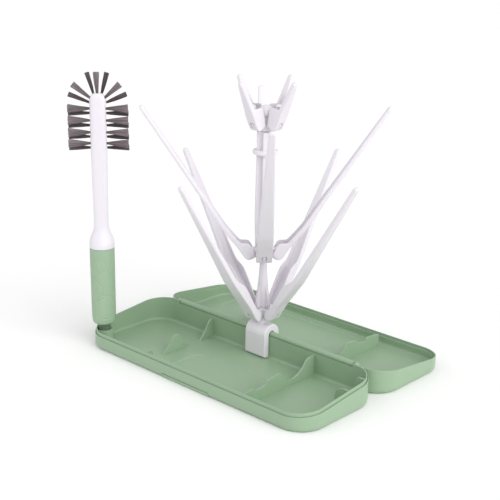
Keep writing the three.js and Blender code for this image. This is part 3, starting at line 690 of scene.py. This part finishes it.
class Arm:
    """An arm seen along its own axis: t runs from the pivot to the tip, and n is towards the pole."""

    def __init__(self, tier):
        data = TIERS[tier]
        self.data = data
        self.pivot = Vector(pivot_of(tier))
        end = Vector(data["rod_end"])
        self.along = (end - self.pivot).normalized()
        self.inward = Vector((-self.along.y, self.along.x))
        self.across = Vector((1, 0, 0))
        self.deep = Vector((0, self.inward.x, self.inward.y))
        self.length = (end - self.pivot).dot(self.along) + data["tip_half"] * 0.9
        self.rod_from = self.local(data["rod_start"])[0]
        start, stop = (Vector(data[key]) for key in ("rod_start", "rod_end"))
        direction = (stop - start).normalized()
        across = Vector((-direction.y, direction.x))
        half0, half1 = (d / 2 for d in data["rod_depth"])
        angles = [math.radians(a) for a in range(-205, -30, 8)]
        circle = [self.pivot + Vector((math.cos(a), math.sin(a))) * data["knuckle"] for a in angles]
        knuckle = [self.local(p) for p in circle]
        lowest = min(range(len(knuckle)), key=lambda i: knuckle[i][0])
        rod_outer = [self.local(start - across * half0), self.local(stop - across * half1)]
        rod_inner = [self.local(start + across * half0), self.local(stop + across * half1)]
        outer = knuckle[lowest:] + [self.local(p) for p in data["outer"]] + rod_outer[1:]
        inner = [knuckle[lowest]] + [self.local(p) for p in data["inner"]] + rod_inner[1:]
        self.bottom = knuckle[lowest][0]
        self.outer, self.inner = rising(outer), rising(inner)

    def local(self, point):
        offset = Vector(point) - self.pivot
        return offset.dot(self.along), offset.dot(self.inward)

    def smooth(self, line, t):
        """The line's value at t, averaged over a short stretch so that its corners are round."""
        return sum(interpolate(line, t + SMOOTH_REACH * k / 3) for k in range(-3, 4)) / 7

    def point(self, t, n):
        """Place in the Y-Z plane of the arm that points along +Y, before it is turned."""
        flat = self.pivot + self.along * t + self.inward * n
        return Vector((0, flat.x, flat.y))

    def ring(self, t, n, half_width, half_depth, radius, steps):
        """A rounded-rectangle section about a place on the arm."""
        return section_ring(self.point(t, n), self.across, self.deep, half_width, half_depth, radius, steps)

    def half_width(self, t):
        share = clamped((t - self.rod_from) / (self.length - self.rod_from))
        return self.data["half"] + (self.data["tip_half"] - self.data["half"]) * share

    def edge(self, t):
        """How deep the arm is at t: (outer n, inner n)."""
        outer, inner = self.smooth(self.outer, t), self.smooth(self.inner, t)
        return min(outer, inner - 0.3), inner


def rising(points):
    """Points sorted so that the place along the arm only rises."""
    kept = [points[0]]
    for point in points[1:]:
        kept.append((max(point[0], kept[-1][0] + 0.05), point[1]))
    return kept


def clamped(value):
    return min(max(value, 0), 1)


def arm_body(arm):
    """The arm's solid outline: a flank at the foot that runs out into the rod, with a round tip."""
    rings = []
    tip = arm.data["tip_half"]
    count = int((arm.length - arm.bottom) / ARM_STEP)
    for i in range(count + 1):
        t = arm.bottom + (arm.length - arm.bottom) * i / count
        outer, inner = arm.edge(t)
        from_tip = arm.length - t
        shrink = math.sqrt(max(1 - (1 - from_tip / tip) ** 2, 0.02)) if from_tip < tip else 1
        above_foot = min(t - arm.bottom, FOOT_CORNER)
        narrower = FOOT_CORNER - math.sqrt(FOOT_CORNER ** 2 - (FOOT_CORNER - above_foot) ** 2)
        half_width = max(arm.half_width(t) * shrink - narrower, 0.3)
        half_depth = max((inner - outer) / 2, 0.2) * shrink
        radius = FLANK_EDGE + (ROD_EDGE - FLANK_EDGE) * clamped((t - arm.rod_from) / ROD_EDGE_REACH)
        rings.append(arm.ring(t, (outer + inner) / 2, half_width, half_depth, radius, 6))
    return skin(rings)


def arm_channel(arm):
    """The hollow between the flanges, which runs out as a groove along the rod."""
    wall = arm.data["wall"]
    lug = arm.data["lug"] + LUG_GAP
    groove_end = arm.rod_from + (arm.length - arm.rod_from) * GROOVE_SHARE
    rings = []
    bottom = -lug
    count = int((groove_end - bottom) / CHANNEL_STEP)
    for i in range(count + 1):
        t = bottom + (groove_end - bottom) * i / count
        outer, inner = arm.edge(t)
        fade = clamped((t - arm.rod_from + FADE_LEAD) / (groove_end - arm.rod_from + FADE_LEAD))
        floor = outer + wall
        if t < LUG_REACH:
            floor = max(min(floor, -math.sqrt(max(lug ** 2 - t ** 2, 0))), outer + THINNEST_WALL)
        floor += (inner - floor) * fade ** 1.4
        half_width = max(arm.half_width(t) - wall - 0.6 * fade, 0.6)
        top = inner + CHANNEL_HEADROOM
        rings.append(arm.ring(t, (floor + top) / 2, half_width, (top - floor) / 2, 0.7, 4))
    return skin(rings)


def arm_tab(arm):
    """The tab of plastic that stands in the window, nearly flush with the arm's outer face."""
    places = [TAB_STEP * k for k in range(-4, 22)]
    faces = [(t, arm.edge(t)[0]) for t in places]
    heights = [arm.point(t, n).z - arm.pivot.y for t, n in faces]
    kept = [place for place, z in zip(faces, heights) if WINDOW_REACH[0] - 0.6 <= z <= TAB_TOP]
    rings = []
    for i, (t, outer) in enumerate(kept):
        from_top = (len(kept) - 1 - i) * TAB_STEP
        shrink = min(0.55 + 0.3 * from_top, 1)
        rings.append(arm.ring(t, outer + 0.12 + TAB_HALF_DEPTH, TAB_HALF * shrink,
                              TAB_HALF_DEPTH * shrink, 0.35, 4))
    return skin(rings)


def arm_mesh(tier):
    arm = Arm(tier)
    made = new_object(f"arm_{tier}", [arm_body(arm)])
    radius, height = arm.pivot
    low, high = (height + reach for reach in WINDOW_REACH)
    window = block((-WINDOW_HALF, WINDOW_HALF), (radius + 1.2, radius + 11), (low, high))
    combine(made, "DIFFERENCE", [arm_channel(arm), window])
    combine(made, "UNION", [arm_tab(arm)])
    soften(made, 0.3, 2, 38)
    shade_and_bake(made)
    mesh = made.data
    bpy.data.objects.remove(made)
    return mesh


def rack_turn(angle):
    """Turns a mesh drawn at the world's origin about the pole."""
    return Matrix.Translation((0, HINGE_Y * MM, 0)) @ Matrix.Rotation(angle, 4, "Z")


def arms():
    for tier in TIERS:
        mesh = arm_mesh(tier)
        for index in range(1, 5):
            obj = bpy.data.objects.new(f"{tier}_arm_{index}", mesh.copy())
            bpy.context.scene.collection.objects.link(obj)
            obj.matrix_world = rack_turn(turn_of(tier, index))
            finish_piece(obj, f"arm_{tier}_{index}", WHITE, f"arm_{tier}_{index}")


def turned_part(part, angle):
    vertices, faces = part
    spin = Matrix.Rotation(angle, 3, "Z")
    return [spin @ Vector(v) for v in vertices], faces


def hub_parts(tier):
    """A hub's core and its four lugs, each with a round end about its pivot."""
    radius, height = pivot_of(tier)
    data = TIERS[tier]
    half = data["half"] - data["wall"] - TONGUE_GAP
    lug = data["lug"]
    round_end = circle_points((radius, height), lug, range(-90, 91, 9))
    lug_part = prism([(2, height - lug), *round_end, (2, height + lug)], -half, half)
    core = lathe([(data["hub_radius"], z) for z in data["hub"]], sides=48)
    return [core] + [turned_part(lug_part, turn_of(tier, index)) for index in range(1, 5)]


def rack_piece(name, parts, width, cad_node):
    """Parts drawn about the pole's foot at the origin, as one piece of the rack. A width rounds its edges."""
    made = new_object(name, parts)
    if width:
        soften(made, width)
    shade_and_bake(made)
    made.matrix_world = rack_turn(0)
    finish_piece(made, "rack", WHITE, cad_node)


def clip_outline():
    """The clip's arch over the rail, from its front foot round to its front foot again."""
    low, _ = box_mm("rack_clip")
    front, back = low.z, CLIP_BACK_FOOT
    outer, inner, corner = CLIP_OUTER, CLIP_INNER, CLIP_CORNER
    return [(-outer + corner, front), (-inner - corner, front), (-inner, front + corner),
            *circle_points((0, CLIP_MIDDLE), inner, range(180, -1, -9)),
            (inner, back + corner), (inner + corner, back), (outer - corner, back), (outer, back + corner),
            *circle_points((0, CLIP_MIDDLE), outer, range(0, 181, 9)),
            (-outer, front + corner)]


def stem():
    """A round stem that flares at its foot into four fins, one towards each lower arm."""
    low, high = box_mm("rack_stem")
    core = [(SPIGOT, low.z), (SPIGOT, 50.3), (4.3, 50.4), (4.6, 56), (5.0, 62), (5.1, 66), (4.85, 71),
            (4.25, 76.5), (3.7, 84), (3.35, 92), (3.3, 97.4), (3.0, 97.7), (SPIGOT, 97.75), (SPIGOT, high.z)]
    side = curve_through([(7.9, 50.5), (8.55, 52.8), (8.35, 56), (7.4, 60.5), (6.2, 65.5), (5.0, 70.5),
                          (3.6, 76)], 4)
    outline = side + [(-u, z) for u, z in reversed(side)]
    fins = softened("fins", [prism(outline, -STEM_FIN_HALF, STEM_FIN_HALF)], 0.55)
    return [lathe(core), fins, turned_part(fins, math.pi / 2)]


def clip_and_hub():
    clip = softened("clip", [prism(clip_outline(), -CLIP_HALF, CLIP_HALF)], 1.5, 5)
    neck = lathe([(5, 31), (5.2, 33.6), (4.8, 34.6), (4.7, 40)], sides=48)
    hub = softened("hub", hub_parts("lower"), 0.6)
    rack_piece("clip_and_hub", [clip, neck, hub], 0, "rack_clip")


def pole_section():
    """The pole's cross-shaped outline, with a fillet in each of its inner corners."""
    half, span, fillet = POLE_RIB_HALF, POLE_SPAN, POLE_FILLET
    quarter_points = [
        (half + fillet, half), (span - 0.9, half), (span - 0.25, half - 0.25), (span, half - 0.9),
        (span, -half + 0.9), (span - 0.25, -half + 0.25), (span - 0.9, -half), (half + fillet, -half),
        (half + fillet * 0.3, -half - fillet * 0.3)]
    outline = []
    for quarter in range(4):
        spin = Matrix.Rotation(quarter * math.pi / 2, 2)
        outline += [spin @ Vector(point) for point in quarter_points]
    outline.sort(key=lambda p: math.atan2(p.y, p.x))
    return outline


def pole():
    low, high = box_mm("rack_pole")
    section = pole_section()
    ribs = skin([[Vector((p.x, p.y, z)) for p in section] for z in (low.z + 7, high.z - 7)])
    half_disc = [(0.4, 0), (DISC_RADIUS - 1.2, 0), (DISC_RADIUS - 0.35, 0.35), (DISC_RADIUS, 1.2)]
    disc = lathe([(radius, DISC_Z + rise) for radius, rise in half_disc]
                 + [(radius, DISC_Z + DISC_HEIGHT - rise) for radius, rise in reversed(half_disc)])
    spigot = lathe([(SPIGOT, low.z), (SPIGOT, high.z)], sides=24)
    rack_piece("pole", [turned_part(ribs, math.pi / 4), disc, spigot], 0, "rack_pole")


def top_hub():
    _, top_z = TIERS["top"]["hub"]
    dome = [(4.6, -0.9), (5.3, -0.5), (6.1, 0.7), (6.5, 2.6), (6.2, 5), (5.1, 7.3), (3.2, 8.9), (1.4, 9.5),
            (0.05, 9.6)]
    cap = lathe(curve_through([(radius, top_z + rise) for radius, rise in dome], 4))
    hub = softened("hub", hub_parts("top"), 0.5)
    rack_piece("top_hub", [hub, cap], 0, "rack_hub_top")


def rack_frame():
    clip_and_hub()
    rack_piece("stem", stem(), 0, "rack_stem")
    rack_piece("middle_hub", hub_parts("middle"), 0.6, "rack_hub_middle")
    pole()
    top_hub()


# ---------- brush
BRUSH_TURN = math.pi / 4
GRIP_RADIUS = 11.8
PADDLE_HALF = (7.6, 4.3)
PADDLE_SHOULDER = 239.0
PADDLE_DOME = 6.2
DOME_STEPS = 12
HANDLE_SIDES = 72
GRIP_SIDES = 220
GRIP_STEP = 0.36
GROOVE_DEPTH = 0.36
GROOVE_HALF = 0.55
CELL = 4  # side of the squares that the pattern's pieces are sorted into
PATTERN_ANGLE = 83.8  # where the pattern's middle lies, clockwise from the local X axis


def brush_axis():
    low, high = box_mm("brush_plug")
    return (low.x + high.x) / 2, (low.y + high.y) / 2


def brush_place():
    x, y = brush_axis()
    return Matrix.Translation((x * MM, y * MM, 0)) @ Matrix.Rotation(BRUSH_TURN, 4, "Z")


def brush_piece(name, parts, material, cad_node):
    """Parts drawn about the brush's own axis, as one piece of the brush."""
    made = new_object(name, parts)
    shade_and_bake(made)
    made.matrix_world = brush_place()
    finish_piece(made, "brush", material, cad_node)


def ellipse_ring(z, half_x, half_y, squareness):
    """A level ring: an ellipse at a squareness of 2, and squarer above it."""
    points = []
    for angle in once_round(HANDLE_SIDES):
        c, s = math.cos(angle), math.sin(angle)
        points.append(Vector((half_x * math.copysign(abs(c) ** (2 / squareness), c),
                              half_y * math.copysign(abs(s) ** (2 / squareness), s), z)))
    return points


def brush_handle():
    _, grip_high = box_mm("brush_grip")
    top = grip_high.z + 0.3
    half_x, half_y = PADDLE_HALF
    stations = curve_through([
        (top, 11.75, 11.75, 2), (top + 2.5, 11.9, 11.7, 2), (top + 6, 11.7, 10.9, 2),
        (top + 10, 10.6, 9.2, 2), (top + 14, 8.9, 7.2, 2.05), (top + 18.5, 7.4, 5.7, 2.15),
        (top + 24, 6.85, 5.0, 2.3), (top + 34, 6.95, 4.7, 2.45), (150, 7.2, 4.5, 2.6),
        (188, half_x, half_y, 2.8), (PADDLE_SHOULDER - 8, half_x, half_y, 2.8),
        (PADDLE_SHOULDER, half_x, half_y, 2.8)], 5)
    rings = [ellipse_ring(z, a, b, power) for z, a, b, power in stations]
    for k in range(1, DOME_STEPS + 1):
        share = math.sin(k / DOME_STEPS * math.pi / 2)
        shrink = math.sqrt(max(1 - share * share, 0.0004))
        rings.append(ellipse_ring(PADDLE_SHOULDER + PADDLE_DOME * share, half_x * shrink,
                                  half_y * (0.25 + 0.75 * shrink), 2.6))
    brush_piece("brush_neck_and_paddle", [skin(rings)], WHITE, "brush_handle")


def arc(centre_u, centre_z, radius, start, stop, shrink=0.0):
    """Points along an arc in degrees; a shrink above 0 winds it inwards."""
    count = max(int(abs(stop - start) / 8), 2)
    line = []
    for k in range(count + 1):
        angle = math.radians(start + (stop - start) * k / count)
        size = radius * (1 - shrink * k / count)
        line.append((centre_u + size * math.cos(angle), centre_z + size * math.sin(angle)))
    return line


def scroll_lines():
    """The engraved pattern: rings, arcs and a swirl, three times round the grip, the sides mirrored."""
    motif = [
        arc(1.3, 40.7, 12.2, 0, 360), arc(1.3, 40.7, 9.5, 100, 150), arc(1.3, 40.7, 15.5, 215, 320),
        [(-10, 70), (-5.6, 66.4), (-2.2, 63.2)] + arc(-4.5, 58, 4.9, 28, -255, 0.45),
        arc(-3.3, 83, 7, 0, 360), arc(-3.3, 83, 4.5, 60, 150),
        arc(17, 77, 11, 135, 225), arc(17, 77, 7.5, 140, 220),
        [(-5.4, 75.6), (-9.8, 71.2), (-13.8, 64.7)],
    ]
    third = 2 * math.pi * GRIP_RADIUS / 3
    lines = list(motif)
    for offset in (-third, third):
        lines += [[(offset - u, z) for u, z in line] for line in motif]
    return lines


def pattern_cells():
    """The pattern's short pieces, sorted into squares so that the near ones are quick to find."""
    cells = {}
    for line in scroll_lines():
        for (ua, za), (ub, zb) in zip(line, line[1:]):
            cell = (round((ua + ub) / 2 / CELL), round((za + zb) / 2 / CELL))
            cells.setdefault(cell, []).append((ua, za, ub, zb))
    return cells


def grip_ring(base, z, cells):
    """One ring of the sleeve, sunk where the pattern's lines cross it."""
    around = 2 * math.pi * GRIP_RADIUS
    ring = []
    for angle in once_round(GRIP_SIDES):
        turned = (angle + math.radians(PATTERN_ANGLE)) / (2 * math.pi)
        u = (turned * around + around / 2) % around - around / 2
        radius = base - groove(u, z, cells)
        ring.append(Vector((radius * math.cos(angle), radius * math.sin(angle), z)))
    return ring


def plain_ring(radius, z):
    return [Vector((radius * math.cos(a), radius * math.sin(a), z)) for a in once_round(GRIP_SIDES)]


def brush_grip():
    low, high = box_mm("brush_grip")
    bottom, top = low.z, high.z
    profile = curve_through([(6.8, bottom), (9.0, bottom + 0.6), (10.6, bottom + 2.2), (11.3, bottom + 5),
                             (11.55, bottom + 12), (11.65, bottom + 30), (11.75, bottom + 60),
                             (11.78, top - 0.6)], 2)
    radius_at = [(z, radius) for radius, z in profile]
    cells = pattern_cells()
    count = int((top - bottom) / GRIP_STEP)
    rings = [plain_ring(4.4, bottom)]
    for i in range(count + 1):
        z = bottom + (top - 0.15 - bottom) * i / count
        rings.append(grip_ring(interpolate(radius_at, z), z, cells))
    rings += [plain_ring(radius, z) for radius, z in [(11.5, top - 0.02), (10.9, top), (5.4, top)]]
    brush_piece("brush_grip_sleeve", [skin(rings)], SAGE_GRIP, "brush_grip")


def groove(u, z, cells):
    """Depth of the engraved pattern at a place on the unrolled grip."""
    nearest = GROOVE_HALF
    cu, cz = round(u / CELL), round(z / CELL)
    for du in (-1, 0, 1):
        for dz in (-1, 0, 1):
            for ua, za, ub, zb in cells.get((cu + du, cz + dz), ()):
                length = (ub - ua) ** 2 + (zb - za) ** 2
                share = clamped(((u - ua) * (ub - ua) + (z - za) * (zb - za)) / max(length, 1e-9))
                gap = math.hypot(u - ua - share * (ub - ua), z - za - share * (zb - za))
                nearest = min(nearest, gap)
    return GROOVE_DEPTH * (1 - (nearest / GROOVE_HALF) ** 2)


def brush_plug():
    low, high = box_mm("brush_plug")
    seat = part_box("brush_grip")[0].z / MM - 0.3
    profile = [(4.6, low.z), (5.3, low.z + 0.3), (5.8, low.z + 0.9), (5.9, low.z + 1.6), (5.9, seat - 0.5),
               (5.5, seat), (4.0, seat), (4.0, high.z - 0.3), (3.6, high.z)]
    # The foot takes the darkened sage: painted shade under the grip.
    brush_piece("brush_foot", [lathe(profile)], SAGE_PLUG_PAINTED_SHADE, "brush_plug")


# Tufts as (root u, root z, tip u, tip z, half fan at the tip); u runs across the paddle.
def side_tufts(heights, fan, reach):
    return [(side * 7.2, z, side * reach, z, fan) for z in heights for side in (-1, 1)]


FRONT_TUFTS = side_tufts((198.7, 208.8, 219.8, 230.8), 4.1, 27.6) + [
    (0, 244.2, -0.6, 264.2, 2.7), (-6.2, 240.2, -22.4, 253.0, 3.1), (6.2, 240.2, 20.8, 253.2, 3.1)]
BACK_TUFTS = side_tufts((193.9, 204.2, 214.7, 226.0), 2.7, 27.6) + [
    (-3.8, 243.6, -9.4, 263.0, 2.3), (3.6, 243.6, 8.6, 263.0, 2.3), (-7.4, 235.6, -26.8, 243.2, 2.3),
    (7.6, 235.8, 26.2, 243.6, 2.3)]
FILAMENTS = 130
FILAMENT_STEPS = 3
FILAMENT_RADIUS = 0.18


def filament_line(rng, tuft, depth):
    """A filament's middle line as (share along, place) pairs, its cross direction, turn and shade."""
    root_u, root_z, tip_u, tip_z, fan = tuft
    root, tip = Vector((root_u, depth * 0.75, root_z)), Vector((tip_u, depth, tip_z))
    along = (tip - root).normalized()
    across = Vector((-along.z, 0, along.x))
    turn, distance = rng.uniform(0, 2 * math.pi), math.sqrt(rng.random())
    spread = Vector((math.cos(turn) * distance, math.sin(turn) * distance))
    start = root + across * spread.x * 0.95 + Vector((0, spread.y * 0.7, 0))
    end = tip + across * (spread.x * fan + rng.gauss(0, 0.12)) + Vector((0, spread.y * 1.45, 0)) \
        + along * rng.uniform(-0.75, 0.15)
    bow = across * rng.gauss(0, 0.18) + Vector((0, rng.gauss(0, 0.15), 0))
    shares = [step / FILAMENT_STEPS for step in range(FILAMENT_STEPS + 1)]
    centres = [start.lerp(end, share) + bow * math.sin(math.pi * share) for share in shares]
    return list(zip(shares, centres)), across, turn, rng.random()


def filament_faces(first):
    """Faces of a four-sided filament whose vertices start at first."""
    faces = []
    for step in range(FILAMENT_STEPS):
        for corner in range(4):
            i, j = first + step * 4 + corner, first + step * 4 + (corner + 1) % 4
            faces.append((i, j, j + 4, i + 4))
    faces.append(tuple(first + FILAMENT_STEPS * 4 + corner for corner in range(4)))
    faces.append(tuple(first + 3 - corner for corner in range(4)))
    return faces


def bristles(name, tufts, depth, seed, cad_node, material):
    """Fanned tufts of nylon. The filament attribute holds (share along, shade of this one)."""
    rng = random.Random(seed)
    vertices, faces, shades = [], [], []
    for tuft in tufts:
        for _ in range(FILAMENTS):
            line, across, turn, tone = filament_line(rng, tuft, depth)
            faces += filament_faces(len(vertices))
            for share, centre in line:
                for corner in range(4):
                    angle = math.pi / 2 * corner + turn
                    out = across * math.cos(angle) + Vector((0, math.sin(angle), 0))
                    vertices.append(centre + out * FILAMENT_RADIUS)
                    shades.append((share, tone, 0, 1))
    made = new_object(name, [(vertices, faces)])
    colours = made.data.color_attributes.new("filament", "FLOAT_COLOR", "POINT")
    for i, value in enumerate(shades):
        colours.data[i].color = value
    made.matrix_world = brush_place()
    finish_piece(made, "brush", material, cad_node)


# ---------- carried-over CAD nodes
def keep_cad(name, material):
    """Shows a CAD node's own mesh, with a detailed material."""
    shown = frame["nodes"][name]
    shown.data.materials.clear()
    shown.data.materials.append(material)


def carried_over():
    for name in ("hinge_pin_left", "hinge_pin_right"):
        keep_cad(name, STEEL)
    for tier in TIERS:
        for index in range(1, 5):
            keep_cad(f"pin_{tier}_{index}", WHITE)


# ---------- surroundings
CAMERA_PLACE = (0.6411, -0.6545, 0.4151)
CAMERA_AZIMUTH = 43.48
CAMERA_ELEVATION = 18.26
CAMERA_ROLL = 0.67
CAMERA_LENS = 78.02
CAMERA_SENSOR = 36
CAMERA_CLIP = (0.05, 20)
CAMERA_SHIFT = (0.0169, 0.0087)
WORLD_STRENGTH = 0.70
# Each soft distant light: name, the direction it comes from, and its strength.
SUNS = [
    ("key", (0.75, -0.12, 0.65), 1.26),
    ("low_right", (1.0, 0.0, 0.25), 0.87),
    ("fill", (-0.6, -0.7, 0.5), 0.42),
]
SUN_SPREAD = 60
SUN_COLOUR = (1.0, 0.995, 0.99)
FLOOR_SIZE = 30.0
FLOOR_DROP = -0.02


def camera():
    azimuth, elevation, roll = (math.radians(a) for a in (CAMERA_AZIMUTH, CAMERA_ELEVATION, CAMERA_ROLL))
    right = Vector((math.cos(azimuth), math.sin(azimuth), 0))
    back = Vector((math.sin(azimuth) * math.cos(elevation), -math.cos(azimuth) * math.cos(elevation),
                   math.sin(elevation)))
    up = back.cross(right)
    x_axis = right * math.cos(roll) + up * math.sin(roll)
    y_axis = up * math.cos(roll) - right * math.sin(roll)
    data = bpy.data.cameras.new("camera")
    data.lens = CAMERA_LENS
    data.sensor_width = CAMERA_SENSOR
    data.shift_x, data.shift_y = CAMERA_SHIFT
    data.clip_start, data.clip_end = CAMERA_CLIP
    obj = bpy.data.objects.new("camera", data)
    bpy.context.scene.collection.objects.link(obj)
    turn = Matrix((x_axis, y_axis, back)).transposed().to_4x4()
    obj.matrix_world = Matrix.Translation(CAMERA_PLACE) @ turn
    bpy.context.scene.camera = obj


def sun(name, direction, strength):
    """Distant light that comes from a direction; its wide spread makes its shadows soft."""
    data = bpy.data.lights.new(name, "SUN")
    data.energy = strength
    data.angle = math.radians(SUN_SPREAD)
    data.color = SUN_COLOUR
    obj = bpy.data.objects.new(name, data)
    bpy.context.scene.collection.objects.link(obj)
    obj.rotation_euler = (-Vector(direction)).to_track_quat("-Z", "Y").to_euler()


def white_floor():
    half = FLOOR_SIZE / 2 / MM
    corners = [(x * half, y * half, FLOOR_DROP) for x, y in ((-1, -1), (1, -1), (1, 1), (-1, 1))]
    floor = new_object("floor", [(corners, [(0, 1, 2, 3)])])
    material, _, shader = new_material("floor")
    shader.inputs["Base Color"].default_value = (0.95, 0.95, 0.95, 1)
    shader.inputs["Roughness"].default_value = 0.9
    shader.inputs["Specular IOR Level"].default_value = 0.1
    floor.data.materials.append(material)


def studio():
    world = bpy.data.worlds.new("studio")
    world.use_nodes = True
    background = world.node_tree.nodes["Background"]
    background.inputs["Color"].default_value = (1.0, 1.0, 1.0, 1)
    background.inputs["Strength"].default_value = WORLD_STRENGTH
    bpy.context.scene.world = world
    bpy.context.scene.view_settings.view_transform = "Standard"
    for light in SUNS:
        sun(*light)
    white_floor()


base_tray()
lid_tray()
rack_frame()
arms()
brush_handle()
brush_grip()
brush_plug()
bristles("bristle_row_front", FRONT_TUFTS, -2.2, 11, "brush_bristles_front", BRISTLE_LIGHT)
bristles("bristle_row_back", BACK_TUFTS, 2.2, 12, "brush_bristles_back", BRISTLE_DARK)
carried_over()
camera()
studio()
